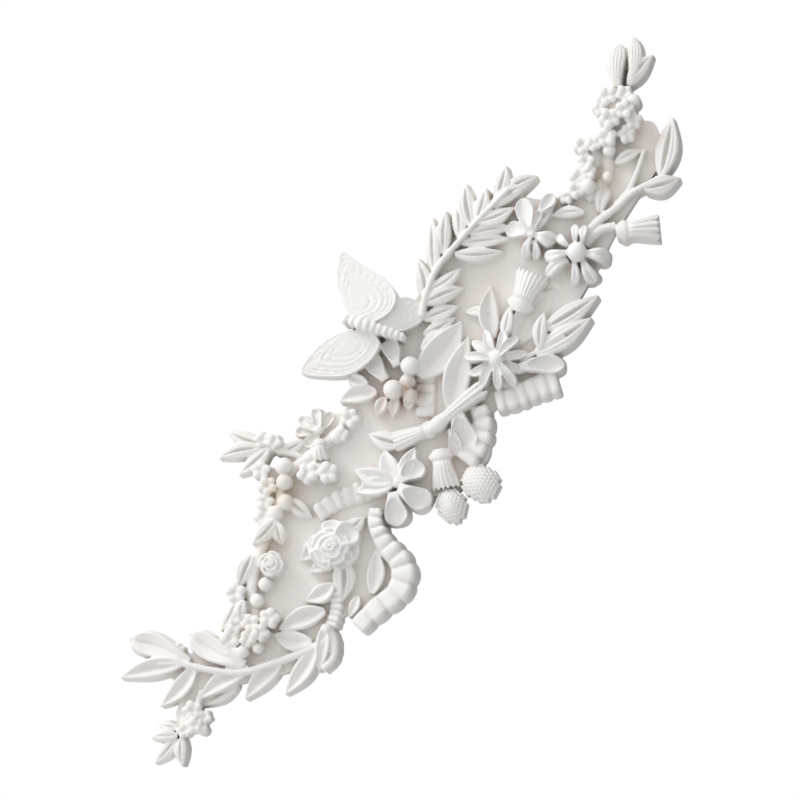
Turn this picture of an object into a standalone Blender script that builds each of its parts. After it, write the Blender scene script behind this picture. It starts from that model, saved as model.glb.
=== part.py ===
"""A plaster corner ornament: one casting with a flat back. A spray of leafy twigs, blossoms, berries,
frilled ribbon, a rose and a butterfly runs slantwise across the corner of a wall or ceiling panel.

+X is right and +Z is up, along the two sides of the corner. The back lies in the plane y = 0 and the
relief faces -Y. Places on the face, and sizes along it, are given on a setting-out grid of squares,
counted from its lower left corner. Heights off the wall are shares of the relief."""

import math

import bmesh
import bpy
from mathutils import Matrix, Vector

# Driving dimensions, in metres
SPRAY_WIDTH = 0.600  # from the leftmost leaf tip to the rightmost, on the face
RELIEF = 0.062  # from the wall to the top of the highest flowers
GROUND = 0.018  # thickness of the smooth ground between the twigs
WALL_DRAFT = 0.003  # how far a side wall spreads between its rim and the wall

# The setting-out grid
GRID_SQUARES = 250  # squares across the spray's width
GRID = SPRAY_WIDTH / GRID_SQUARES
ORIGIN = (126, 146)  # the grid point at the middle of the back, which is the part's origin
DRAFT = WALL_DRAFT / GRID
# The grid is read from a little to the right and below, so what stands high has its foot that way too
READING_SLOPE = math.tan(math.radians(6))
READING_LEVEL = 0.40  # the height share at which the grid is read true

# Each shell runs a little behind the back plane before the back is cut flat, and no two bottoms coincide
OVERRUN = 0.003
OVERRUN_STEP = 0.00017
OVERRUN_STEPS = 11
WALL_DEPTH = 0.05  # depth of the block that cuts the back flat
NEARLY_FLAT = math.radians(6)  # neighbouring faces that differ by less than this become one

PLASTER_COLOUR = (0.86, 0.85, 0.84, 1.0)
PLASTER_ROUGHNESS = 0.85

# Stations along a blade: place along it, width and height, as shares of its own length, width and height
LEAF_STATIONS = ((0, 0.45, 0.92), (0.36, 1.0, 1.06), (0.72, 0.74, 0.98), (1.0, 0, 0.78))
SMALL_LEAF_STATIONS = ((0, 0.50, 0.92), (0.48, 1.0, 1.04), (1.0, 0, 0.78))
PETAL_STATIONS = ((0, 0.40, 0.88), (0.72, 1.0, 1.02), (1.0, 0.50, 0.90))
BUD_STATIONS = ((0, 0.34, 0.80), (0.30, 0.62, 0.98), (0.80, 1.0, 1.0), (1.0, 0.86, 0.84))
SMALL_BLADE = 9.2  # leaves narrower than this have fewer stations
LEAF_GROOVE = 0.24  # depth of the middle groove as a share of the width
PETAL_GROOVE = 0.20
BLADE_SWAY = 0.07  # how far a blade curves aside, as a share of its length
BLADE_LIFT = 0.07  # how much neighbouring blades differ in height, as a share of it
SWAY_TURN = 2.4  # radians from one blade's sway to the next
LIFT_TURN = 1.7

# Knobs and blossoms
KNOB_SIDES = 6
LARGE_KNOB_SIDES = 8
KNOB_ROUNDING = 0.6  # height that a knob rounds over, as a share of its radius
SMALL_BLOSSOM = 4.5  # blossoms of a smaller radius are plain knobs
BLOSSOM_PETALS = 5
BLOSSOM_LOBE = 0.14  # how far the petals swell, as a share of the radius
BLOSSOM_EYE = 0.25
BLOSSOM_EYE_DEPTH = 0.4

# Buds and ribbons
BUD_ROUNDING = 0.55  # how far a bud falls away at its sides, as a share of its half width
BUD_FURROW = 0.10  # depth of the furrows between its ribs
FURROW_WIDTH = 0.93  # a ribbon's width at a furrow, against the width at a flute's crest
FURROW_HEIGHT = 0.84
RIBBON_ROUNDING = 0.0024
LINE_PIECES = 12  # pieces of a ribbon's middle line between two of its points

# The edge of the ground, round the casting
GROUND_EDGE = (
    (216, 282), (232, 287), (240, 284), (241, 268), (233, 255), (221, 236), (214, 222), (208, 212),
    (201, 199), (196, 184), (191, 170), (170, 160), (165, 154), (165, 138), (158, 129), (150, 121),
    (136, 119), (126, 115), (118, 108), (121, 98), (127, 88), (125, 78), (114, 70), (101, 67), (96, 62),
    (94, 48), (80, 43), (62, 38), (42, 34), (31, 22), (24, 22), (27, 34), (20, 42), (30, 50), (46, 54),
    (52, 64), (54, 76), (61, 95), (64, 109), (64, 127), (74, 139), (86, 151), (101, 160), (105, 170),
    (109, 182), (114, 193), (126, 200), (135, 214), (144, 229), (156, 243), (170, 254), (190, 252),
    (200, 256), (210, 268),
)

# Leaves: base x, base y, tip x, tip y, width. Each group has one height share
LEAVES = {
    "top_fan": (0.42, (
        (222, 302, 222.5, 322, 7.5), (228, 304, 229.5, 325, 6.5),
    )),
    "top_sprig": (0.44, (
        (227, 303, 238, 317, 7.5),
    )),
    "right_twig": (0.50, (
        (241.5, 262, 246.5, 288.5, 10.5), (234, 256, 250, 261, 8.5), (221, 268, 233, 274, 5.5),
    )),
    "olive_twig": (0.55, (
        (136, 208, 132, 227, 7.5), (140, 220, 139, 245, 7), (144, 228, 145, 248, 6.5),
        (151, 235, 149, 252, 6.5), (157, 240, 154, 260, 8.5), (159, 243, 163, 258, 6.5),
        (168, 252, 172, 268, 7.5), (172, 256, 186, 263, 7), (138, 212, 152, 222, 6),
        (136, 206, 153, 213, 7.5), (135, 199, 151, 205, 7), (135, 192, 149, 200, 6.5),
        (134, 185, 147, 195, 6), (149, 228, 171, 229, 6.5), (152, 233, 174, 235, 6.5),
        (156, 237, 175, 240, 6), (159, 242, 176, 249, 7), (165, 249, 182, 259, 7),
    )),
    "right_leaves": (0.58, (
        (189, 194, 213, 209, 9.5), (185, 183, 210, 199, 10), (187, 185, 189, 202, 6.5),
        (207, 246, 192, 245, 5.5), (184.3, 237, 194.5, 252, 4.6),
    )),
    "beside_the_daisy": (0.54, (
        (147, 158, 155, 191, 12), (133, 173, 152, 198, 15), (166, 190, 165, 214, 9),
    )),
    "slim_leaves": (0.50, (
        (164, 202, 153, 202, 4.5), (171, 190, 174, 205, 5.5),
    )),
    "low_broad_leaf": (0.38, (
        (176, 187, 194, 212, 14),
    )),
    "under_the_butterfly": (0.55, (
        (114, 167, 97, 163, 9), (110, 170, 100, 175, 6), (118, 164, 114, 156, 5.5),
        (123, 165, 121, 155, 5),
    )),
    "left_sprig": (0.40, (
        (62, 144, 47, 150, 6.5), (62, 142, 43, 138, 7), (66, 142, 52, 130, 7), (81, 145, 69, 139, 6),
    )),
    "flower_chain": (0.52, (
        (75, 119, 85, 111, 7), (69, 110, 58, 99, 7), (69, 109, 72, 98, 6.5), (58, 94, 52, 80, 8),
        (51.5, 74.5, 44, 60.5, 5.5), (54.5, 74, 53.5, 63.5, 5), (125, 143, 110, 148, 9),
    )),
    "rose_leaves": (0.50, (
        (90, 101, 79.5, 91.5, 8.5), (95, 91, 84, 86.5, 6.5), (95, 80.5, 82, 73.5, 8.5),
        (112, 76.5, 113.5, 97, 8.5), (106, 75.5, 101.5, 66, 4.8),
    )),
    "open_flower_leaves": (0.62, (
        (121, 126, 104, 132, 9), (121, 125, 105, 122, 9), (122, 128, 117, 141, 8.5),
        (125, 128, 131, 142, 7.5),
    )),
    "lower_spray": (0.48, (
        (91, 69, 70, 61, 10), (85, 55, 67, 59, 9), (71, 46, 55, 30, 9), (87, 52, 73, 32, 9),
        (91, 63, 88, 42, 9), (57, 44, 34, 30, 9), (33, 45, 17, 27, 8.5), (27, 46, -1, 40, 9),
    )),
    "by_the_rose": (0.56, (
        (99, 102, 108.5, 111, 7.5), (98.8, 91, 98.8, 74, 8),
    )),
    "blunt_leaves": (0.46, (
        (30, 46, 3, 57, 12), (55, 45, 30, 59, 12),
    )),
    "low_leaves": (0.32, (
        (52, 37, 36, 27, 7.5), (34, 43, 30, 27, 9), (67, 49, 56, 46, 5),
    )),
    "bottom_sprig": (0.38, (
        (25, 13.5, 13, 13, 5), (25, 17, 16, 19, 4.5), (24.5, 13, 14.5, 1.5, 5.8), (27, 13, 27.3, 0, 5.6),
    )),
}

# Petals, cupped and round at the end: base x, base y, tip x, tip y, width
PETALS = {
    "ball_flower": (0.72, (
        (199, 228, 188.8, 226.3, 6), (199.5, 225, 189.5, 218.3, 5.5), (199.5, 231, 194.5, 236.5, 4.2),
        (202.8, 232, 202.6, 241, 3.8), (205.6, 232, 207, 240.5, 3.8), (202, 224.5, 202.4, 213.8, 4.4),
        (206, 224.5, 211.5, 215, 6.5), (207.5, 227.5, 218, 226, 7),
    )),
    "cupped_flower": (0.66, (
        (183, 237, 179, 253, 8.5), (182, 237, 171.5, 239.5, 8), (184, 238, 186, 247.5, 6.5),
        (187, 246, 193, 254.5, 6),
    )),
    "puffed_petals": (0.68, (
        (185, 236, 194, 233.5, 8), (184.5, 234, 185.2, 225.5, 3.8), (182.5, 234.5, 180.5, 226, 4.2),
    )),
    "behind_the_daisy": (0.60, (
        (178, 177, 198, 178, 9), (170, 180, 180, 177, 6), (170, 178, 173, 168, 5),
    )),
    "open_flower": (0.68, (
        (124, 127, 135, 134, 10), (124, 124, 138, 117, 11), (121, 122, 123, 107, 11),
    )),
    "under_the_wing": (0.62, (
        (118, 172, 110, 184, 9), (123, 178, 118, 190, 8.5), (127, 171, 128, 159, 5),
    )),
    "pale_flower": (0.45, (
        (88, 150, 94, 158, 5.5), (88, 151, 86, 160, 5), (87, 150, 79, 156, 5), (87, 149, 77, 149, 5),
        (88, 148, 81, 143, 5),
    )),
    "hanging_petal": (0.45, (
        (214, 246, 216.5, 258, 8),
    )),
    "curled_leaf": (0.62, (
        (150, 158, 156, 140, 12), (147, 150, 149, 138, 6.5),
    )),
}

# Stems: height share, radius at the start and the end, and the points that the stem runs through
STEMS = (
    (0.62, 1.5, 0.9, ((134, 200), (136, 210), (141, 222), (150, 233), (160, 244), (173, 257))),
    (0.54, 2.2, 1.2, ((204, 231), (212, 241), (221, 248), (229, 255), (239, 260))),
    (0.5, 1.5, 0.9, ((221, 249), (227, 256), (231, 265), (234, 274))),
    (0.54, 2.4, 1.8, ((207, 232), (214, 238), (221, 240))),
    (0.5, 2.0, 1.2, ((94, 57), (82, 51), (68, 46), (54, 42), (40, 43), (26, 46), (16, 46))),
    (0.48, 2.4, 1.6, ((92, 61), (95, 55), (94.5, 48), (90, 43))),
    (0.4, 1.9, 1.3, ((36, 34), (33, 26), (28, 17))),
    (0.4, 1.6, 1.4, ((63, 144), (70, 141), (80, 138))),
    (0.58, 1.2, 0.8, ((178, 180), (186, 184), (198, 191))),
    (0.4, 3.6, 3.0, ((222, 303), (221, 292), (218, 274), (217, 262), (208, 252))),
    (0.44, 3.0, 2.6, ((104, 154), (95, 147), (84, 138), (73, 128), (70, 114), (62, 96), (58, 80), (60, 66))),
)

# Small blossoms: x, y, radius, height share
BLOSSOMS = (
    (217, 298, 4.4, 0.62), (225, 299, 4.0, 0.6), (218, 288, 4.8, 0.74), (225, 292, 4.2, 0.78),
    (229, 287, 4.0, 0.66), (217, 280, 4.6, 0.66), (226, 281, 4.2, 0.6), (214, 293, 3.6, 0.52),
    (206, 276, 4.0, 0.56), (211, 277, 3.6, 0.6), (208, 269, 4.0, 0.56), (209, 264, 3.4, 0.6),
    (204, 262, 3.6, 0.56), (203, 256, 3.8, 0.58), (199, 253, 3.4, 0.5), (83, 130.5, 4.8, 0.66),
    (92, 131, 4.8, 0.7), (102, 155, 4.4, 0.54), (98, 148, 3.6, 0.54), (66, 66.3, 4.6, 0.7),
    (62, 60, 4.2, 0.68), (57.8, 63.8, 4.4, 0.62), (56.5, 57, 3.8, 0.62), (48.5, 57, 4.6, 0.52),
    (51, 63, 3.8, 0.54), (49.6, 50.5, 3.2, 0.5), (63, 146, 3.6, 0.46), (68, 145, 3.6, 0.5),
    (62, 132, 4.4, 0.46), (65, 125, 4.4, 0.48), (64, 118, 4.2, 0.46), (63, 111, 4.2, 0.44),
    (50.9, 77.5, 4.6, 0.54), (31.5, 25, 4.6, 0.46), (32.5, 18.5, 3.8, 0.5), (27.8, 16, 3.4, 0.44),
    (37, 22, 3.4, 0.42), (25, 52, 3.2, 0.4),
)

# Berries: x, y, radius, height share
BERRIES = (
    (229, 296, 3.2, 0.66), (218, 274, 3.0, 0.6), (217.5, 262, 2.6, 0.58), (208.5, 258, 3.4, 0.66),
    (72, 134, 4.0, 0.68), (72.5, 127, 3.8, 0.66), (73, 118, 3.8, 0.62), (68.5, 113, 3.6, 0.58),
    (64, 81.3, 3.2, 0.62), (128.5, 178.5, 4.2, 0.86), (127.5, 171.5, 3.4, 0.74), (121, 168, 4.4, 0.82),
    (129, 165, 3.4, 0.7), (123, 126, 2.4, 0.66), (96, 147, 3.4, 0.56), (54, 51.3, 2.9, 0.6),
    (60.9, 53, 2.7, 0.6), (36.3, 16.4, 2.6, 0.46), (60.2, 73.8, 3.4, 0.56), (91.3, 61, 2.6, 0.54),
    (88, 150, 2.2, 0.5), (183.3, 236.6, 1.8, 0.7),
)

# Low mounds under the clusters: x, y, half length, half width, turn in degrees, height share
MOUNDS = ((222, 291, 12, 8.5, 78, 0.54), (57, 59, 11, 7.5, 35, 0.48))

# Long berries: x, y, half length, half width, turn in degrees, height share
LONG_BERRIES = ((160, 126, 9, 7.6, -28, 0.66), (147, 116, 7.8, 6.4, -72, 0.58))

# Ribbed buds: base x, base y, end x, end y, width, height share, ribs
BUDS = (
    (221, 237.5, 240.5, 239.5, 13, 0.6, 4), (177, 202, 184, 220, 17, 0.64, 5),
    (142, 141, 145, 123, 15, 0.62, 5), (141, 151, 121, 144, 11, 0.6, 4), (137, 149, 162, 169, 9, 0.72, 3),
    (88, 146, 89, 136, 8, 0.6, 3),
)

# Frilled ribbons: height share, widths at the start, the middle and the end, flutes, and the points along
# the middle line. The last is the ringed stalk under the rose
RIBBONS = (
    (0.56, (10, 10.5, 11), 6, ((167, 162), (175, 164), (185, 168), (195, 171))),
    (0.46, (9, 9.5, 9), 4, ((136, 155), (136, 165), (136, 176))),
    (0.5, (8, 9, 10), 7, ((87, 112), (96, 118), (106, 121.5), (117, 125))),
    (0.62, (5.5, 10.8, 8), 11,
     ((113.3, 115), (113.2, 107.5), (117.5, 98.8), (123.5, 92), (125.6, 85), (122.5, 77), (114, 70.5),
      (105, 62))),
    (0.58, (8, 9.5, 10), 5, ((159, 160), (161, 152), (159, 143), (153, 135))),
    (0.5, (4.6, 4.4, 4.4), 6, ((95.8, 78), (95.6, 70), (93.3, 62))),
)

# The large daisy
DAISY = (167, 181)
DAISY_PETALS = 11
DAISY_TURN = 0.35  # where the first petal points, as a share of the angle between two
DAISY_RADIUS = 14
DAISY_UNEVEN = 0.08  # how much the petals differ in reach
DAISY_UNEVEN_TURN = 3.1
DAISY_PETAL_START = 2
DAISY_PETAL_WIDTH = 5.2
DAISY_PETAL_RISE = 0.76
DAISY_GROOVE = 0.16
DAISY_EYE = 3.8
DAISY_RISE = 0.88

# The eye of the flower whose petals are called ball_flower
EYE = (203, 228.6)
EYE_RADIUS = 4.4
EYE_RISE = 0.92

# The rose: radius and height of each ring of petals, as shares of its own. The rings' middles move over
# from the rose's middle to its heart
ROSE = (97, 100.4)
ROSE_HEART = (93.4, 98)
ROSE_RADIUS = 10
ROSE_RISE = 0.80
ROSE_LEVELS = (
    (1.00, 0), (1.00, 0.74), (0.74, 0.64), (0.70, 0.90), (0.46, 0.76), (0.40, 1.00), (0.16, 0.86),
)
ROSE_PETALS = 5
ROSE_TWIST = 0.3
ROSE_LOBE = 0.05
ROSEBUD = (66.7, 90.5, 5.5, 0.70)  # a rosebud in the chain of flowers: x, y, radius, height share

# The butterfly: each wing's outline from its root round, and its height at the root and at the tip
WINGS = (
    (((107, 196), (103, 197), (100, 204), (96.5, 215), (96.5, 225), (98, 230.5), (103, 227), (111, 221.5),
      (118, 217), (123, 210), (121.5, 203), (115, 198)), 0.84, 0.50),
    (((113, 193), (103, 194), (95, 192), (88, 187.5), (82.5, 182), (79.5, 176), (87, 174), (100, 174),
      (110, 179), (116, 187)), 0.82, 0.46),
    (((114, 197), (119, 204), (126, 209), (133, 206.5), (135.5, 201), (131, 196), (122, 193)), 0.80, 0.56),
)
# Its ringed body, set out as the ribbons are, with a ring for each flute
BODY = (1.0, (4.6, 5.6, 4.2), 9, ((98.8, 199.5), (109.4, 196.3), (126, 191)))


def at(x, y, height):
    """The point over a grid place, at a height off the wall in metres."""
    return Vector(((x - ORIGIN[0]) * GRID, -height, (y - ORIGIN[1]) * GRID))


def smooth_line(points, pieces):
    """Points on the Catmull-Rom curve through the given ones, with so many pieces between each two."""
    ends = [2 * Vector(points[0]) - Vector(points[1]), 2 * Vector(points[-1]) - Vector(points[-2])]
    knots = [ends[0], *(Vector(p) for p in points), ends[1]]
    line = []
    for a, b, c, d in zip(knots, knots[1:], knots[2:], knots[3:]):
        for step in range(pieces):
            t = step / pieces
            curve = (2 * a - 5 * b + 4 * c - d) * t**2 + (3 * b - a - 3 * c + d) * t**3
            line.append((2 * b + (c - a) * t + curve) / 2)
    return [*line, Vector(points[-1])]


class Casting:
    """Collects closed shells, which one union then joins."""

    def __init__(self):
        self.mesh = bmesh.new()
        self.count = 0
        self.shift = Vector()

    def stand(self, rise):
        """Sets what comes next in its true place, for a height share."""
        aside = READING_SLOPE * (rise - READING_LEVEL) * RELIEF
        self.shift = Vector((aside, 0, -aside))

    def overrun(self):
        """The depth behind the back plane for the next shell's bottom, as a height below zero."""
        self.count += 1
        return -OVERRUN - OVERRUN_STEP * (self.count % OVERRUN_STEPS)

    def row(self, loop):
        """A vertex for each point of a loop. Repeated points share one, so a shell can end in an edge."""
        made = {}
        for point in dict.fromkeys(map(tuple, loop)):
            made[point] = self.mesh.verts.new(Vector(point) + self.shift)
        return [made[tuple(point)] for point in loop]

    def face(self, corners):
        corners = list(dict.fromkeys(corners))
        if len(corners) > 2:
            self.mesh.faces.new(corners)

    def loft(self, loops):
        """A closed shell through loops of as many points each, capped at both ends."""
        rows = [self.row(loop) for loop in loops]
        for low, high in zip(rows, rows[1:]):
            for j in range(len(low)):
                k = (j + 1) % len(low)
                self.face((low[j], low[k], high[k], high[j]))
        self.face(rows[0])
        self.face(rows[-1])


def side_of(run):
    """The unit vector to the left of a run along the face."""
    return Vector((-run.y, run.x)).normalized()


def blade(casting, row, rise, groove, stations, index):
    """A leaf or petal: two raised rims beside a sunk middle, on walls that spread down to the back."""
    casting.stand(rise)
    base_x, base_y, tip_x, tip_y, width = row
    base = Vector((base_x, base_y))
    run = Vector((tip_x, tip_y)) - base
    sway = side_of(run) * run.length * BLADE_SWAY * math.sin(SWAY_TURN * index)
    lift = 1 + BLADE_LIFT * math.sin(LIFT_TURN * index)
    bottom = casting.overrun()
    loops = []
    for along, wide, high in stations:
        middle = base + run * along + sway * math.sin(math.pi * along)
        half = wide * width / 2
        top = rise * RELIEF * high * lift
        valley = top - groove * wide * width * GRID
        foot = half + DRAFT if wide else 0
        section = ((-foot, bottom), (-half, top), (0, valley), (half, top), (foot, bottom))
        loops.append([at(*(middle + side_of(run) * aside), height) for aside, height in section])
    casting.loft(loops)


def leaves(casting):
    rows = [(rise, row) for rise, group in LEAVES.values() for row in group]
    for index, (rise, row) in enumerate(rows, 1):
        stations = SMALL_LEAF_STATIONS if row[-1] < SMALL_BLADE else LEAF_STATIONS
        blade(casting, row, rise, LEAF_GROOVE, stations, index)


def petals(casting):
    rows = [(rise, row) for rise, group in PETALS.values() for row in group]
    for index, (rise, row) in enumerate(rows, 1):
        blade(casting, row, rise, PETAL_GROOVE, PETAL_STATIONS, index)


def stem(casting, rise, start_radius, end_radius, points):
    """A stem with a rounded top, on walls that spread down to the back."""
    casting.stand(rise)
    line = [Vector(point) for point in points]
    bottom = casting.overrun()
    top = rise * RELIEF
    loops = []
    for i, place in enumerate(line):
        run = line[min(i + 1, len(line) - 1)] - line[max(i - 1, 0)]
        radius = start_radius + (end_radius - start_radius) * i / (len(line) - 1)
        shoulder = top - radius * GRID
        foot = radius + DRAFT
        section = ((-foot, bottom), (-radius, shoulder), (0, top), (radius, shoulder), (foot, bottom))
        loops.append([at(*(place + side_of(run) * aside), height) for aside, height in section])
    casting.loft(loops)


def ring(place, radii, turn, height, sides, lobes=0, swell=0.0):
    """A level ring of points round a place: an ellipse, or a round with lobes."""
    loop = []
    for i in range(sides):
        angle = 2 * math.pi * i / sides
        reach = 1 + swell * math.cos(lobes * angle)
        along = radii[0] * reach * math.cos(angle)
        aside = radii[1] * reach * math.sin(angle)
        x = place[0] + along * math.cos(turn) - aside * math.sin(turn)
        y = place[1] + along * math.sin(turn) + aside * math.cos(turn)
        loop.append(at(x, y, height))
    return loop


def knob(casting, place, radii, turn, rise, sides):
    """A rounded knob on walls down to the back."""
    casting.stand(rise)
    top = rise * RELIEF
    shoulder = top - KNOB_ROUNDING * min(radii) * GRID
    levels = ((radii, casting.overrun()), (radii, shoulder), ((0, 0), top))
    casting.loft([ring(place, size, turn, height, sides) for size, height in levels])


def blossom(casting, x, y, radius, rise):
    """A small five-petalled blossom with a sunk eye."""
    casting.stand(rise)
    top = rise * RELIEF
    sides = 2 * BLOSSOM_PETALS
    eye = BLOSSOM_EYE * radius
    eye_height = top - BLOSSOM_EYE_DEPTH * radius * GRID
    levels = ((radius, casting.overrun(), BLOSSOM_LOBE), (radius, top, BLOSSOM_LOBE), (eye, eye_height, 0))
    casting.loft([
        ring((x, y), (size, size), x + y, height, sides, BLOSSOM_PETALS, swell)
        for size, height, swell in levels
    ])


def blossoms(casting):
    for x, y, radius, rise in BLOSSOMS:
        if radius < SMALL_BLOSSOM:
            knob(casting, (x, y), (radius, radius), 0, rise, KNOB_SIDES)
        else:
            blossom(casting, x, y, radius, rise)


def berries(casting):
    for x, y, radius, rise in BERRIES:
        knob(casting, (x, y), (radius, radius), 0, rise, KNOB_SIDES)
    for rows, sides in ((LONG_BERRIES, LARGE_KNOB_SIDES), (MOUNDS, KNOB_SIDES)):
        for x, y, half_length, half_width, turn, rise in rows:
            knob(casting, (x, y), (half_length, half_width), math.radians(turn), rise, sides)


def bud(casting, base_x, base_y, end_x, end_y, width, rise, ribs):
    """A bud that widens from its calyx to a blunt end, with furrows between its ribs."""
    casting.stand(rise)
    base = Vector((base_x, base_y))
    run = Vector((end_x, end_y)) - base
    bottom = casting.overrun()
    strips = 2 * ribs - 1
    loops = []
    for along, wide, high in BUD_STATIONS:
        half = wide * width / 2
        section = [(-half - DRAFT, bottom)]
        for strip in range(strips):
            share = (2 * strip + 1) / strips - 1
            sunk = BUD_ROUNDING * share**2 + BUD_FURROW * (strip % 2)
            section.append((half * share, rise * RELIEF * high - sunk * half * GRID))
        section.append((half + DRAFT, bottom))
        middle = base + run * along
        loops.append([at(*(middle + side_of(run) * aside), height) for aside, height in section])
    casting.loft(loops)


def width_at(widths, share):
    """The width at a share of the length, from the widths at the start, the middle and the end."""
    start, middle, end = widths
    if share < 0.5:
        return start + (middle - start) * 2 * share
    return middle + (end - middle) * (2 * share - 1)


def ribbon(casting, rise, widths, flutes, points):
    """A band gathered into flutes across its length."""
    casting.stand(rise)
    line = smooth_line(points, LINE_PIECES)
    bottom = casting.overrun()
    sections = 2 * flutes
    loops = []
    for i in range(sections + 1):
        share = i / sections
        near = round(share * (len(line) - 1))
        run = line[min(near + 1, len(line) - 1)] - line[max(near - 1, 0)]
        on_crest = i % 2
        half = width_at(widths, share) / 2 * (1 if on_crest else FURROW_WIDTH)
        top = rise * RELIEF * (1 if on_crest else FURROW_HEIGHT)
        edge = top - RIBBON_ROUNDING
        section = ((-half - DRAFT, bottom), (-half, edge), (0, top), (half, edge), (half + DRAFT, bottom))
        loops.append([at(*(line[near] + side_of(run) * aside), height) for aside, height in section])
    casting.loft(loops)


def rose(casting):
    """Cupped rings of petals about a tight heart, and a rosebud apart."""
    casting.stand(ROSE_RISE)
    loops = []
    bottom = casting.overrun()
    for i, (size, high) in enumerate(ROSE_LEVELS):
        height = bottom if i == 0 else ROSE_RISE * RELIEF * high
        middle = Vector(ROSE).lerp(Vector(ROSE_HEART), i / (len(ROSE_LEVELS) - 1))
        radii = (ROSE_RADIUS * size, ROSE_RADIUS * size)
        loops.append(ring(middle, radii, ROSE_TWIST * i, height, 2 * ROSE_PETALS, ROSE_PETALS, ROSE_LOBE))
    casting.loft(loops)
    blossom(casting, *ROSEBUD)


def daisy(casting):
    """Narrow petals all round a domed eye."""
    for i in range(DAISY_PETALS):
        angle = 2 * math.pi * (i + DAISY_TURN) / DAISY_PETALS
        reach = DAISY_RADIUS * (1 + DAISY_UNEVEN * math.sin(DAISY_UNEVEN_TURN * i))
        start, end = [
            (DAISY[0] + distance * math.cos(angle), DAISY[1] + distance * math.sin(angle))
            for distance in (DAISY_PETAL_START, reach)
        ]
        row = (*start, *end, DAISY_PETAL_WIDTH)
        blade(casting, row, DAISY_PETAL_RISE, DAISY_GROOVE, PETAL_STATIONS, i)
    knob(casting, DAISY, (DAISY_EYE, DAISY_EYE), 0, DAISY_RISE, LARGE_KNOB_SIDES)


def wing(casting, outline, root_rise, tip_rise):
    """A flat wing. It slopes from its root, the outline's first point, down to the point farthest away."""
    casting.stand((root_rise + tip_rise) / 2)
    root = Vector(outline[0])
    tip = max((Vector(point) for point in outline), key=lambda point: (point - root).length)
    run = tip - root
    top = []
    for x, y in outline:
        share = (Vector((x, y)) - root).dot(run) / run.length_squared
        top.append(at(x, y, RELIEF * (root_rise + (tip_rise - root_rise) * share)))
    bottom = casting.overrun()
    casting.loft([[at(x, y, bottom) for x, y in outline], top])


def butterfly(casting):
    for outline, root_rise, tip_rise in WINGS:
        wing(casting, outline, root_rise, tip_rise)
    ribbon(casting, *BODY)


def ground():
    """The smooth ground that the twigs stand on."""
    casting = Casting()
    casting.stand(GROUND / RELIEF)
    casting.loft([[at(x, y, height) for x, y in GROUND_EDGE] for height in (-GROUND, GROUND)])
    return casting


def relief():
    """All that stands on the ground, as shells that still overlap."""
    casting = Casting()
    leaves(casting)
    petals(casting)
    for row in STEMS:
        stem(casting, *row)
    blossoms(casting)
    berries(casting)
    knob(casting, EYE, (EYE_RADIUS, EYE_RADIUS), 0, EYE_RISE, LARGE_KNOB_SIDES)
    for row in BUDS:
        bud(casting, *row)
    for row in RIBBONS:
        ribbon(casting, *row)
    rose(casting)
    daisy(casting)
    butterfly(casting)
    return casting


def clear_scene():
    for old in list(bpy.data.objects):
        bpy.data.objects.remove(old)


def new_object(name, mesh):
    """An object of a mesh, whose faces are turned outwards and split into triangles."""
    data = bpy.data.meshes.new(name)
    bmesh.ops.recalc_face_normals(mesh, faces=mesh.faces)
    bmesh.ops.triangulate(mesh, faces=mesh.faces)
    mesh.to_mesh(data)
    mesh.free()
    made = bpy.data.objects.new(name, data)
    bpy.context.scene.collection.objects.link(made)
    return made


def plaster():
    material = bpy.data.materials.new("plaster")
    material.use_nodes = True
    shader = material.node_tree.nodes["Principled BSDF"]
    shader.inputs["Base Color"].default_value = PLASTER_COLOUR
    shader.inputs["Roughness"].default_value = PLASTER_ROUGHNESS
    shader.inputs["Metallic"].default_value = 0.0
    return material


def wall():
    """A block behind the back plane, which cuts the casting's back flat."""
    block = bmesh.new()
    size = (2 * SPRAY_WIDTH, WALL_DEPTH, 3 * SPRAY_WIDTH)
    place = Matrix.Translation((0, WALL_DEPTH / 2, 0)) @ Matrix.Diagonal((*size, 1))
    bmesh.ops.create_cube(block, size=1.0, matrix=place)
    return block


def boolean(ornament, name, operation, mesh):
    """Joins or cuts the ornament with another shape, which is left out of the render."""
    other = new_object(name, mesh)
    other.hide_render = True
    other.display_type = "WIRE"
    step = ornament.modifiers.new(name, "BOOLEAN")
    step.operation = operation
    step.solver = "EXACT"
    step.use_self = True
    step.object = other


def main():
    clear_scene()
    ornament = new_object("corner_ornament", relief().mesh)
    ornament.data.materials.append(plaster())
    boolean(ornament, "ground", "UNION", ground().mesh)
    boolean(ornament, "wall", "DIFFERENCE", wall())
    fewer = ornament.modifiers.new("fewer_faces", "DECIMATE")
    fewer.decimate_type = "DISSOLVE"
    fewer.angle_limit = NEARLY_FLAT


main()
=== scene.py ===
"""A plaster corner ornament in detail: one casting of leaves, blossoms, berries, frilled ribbon, a rose
and a butterfly, modelled as overlapping closed shells that are then fused into one skin with soft joins.

Places on the face are given on the part's setting-out grid, and heights off the wall mostly as shares
of its relief."""

import math

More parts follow.
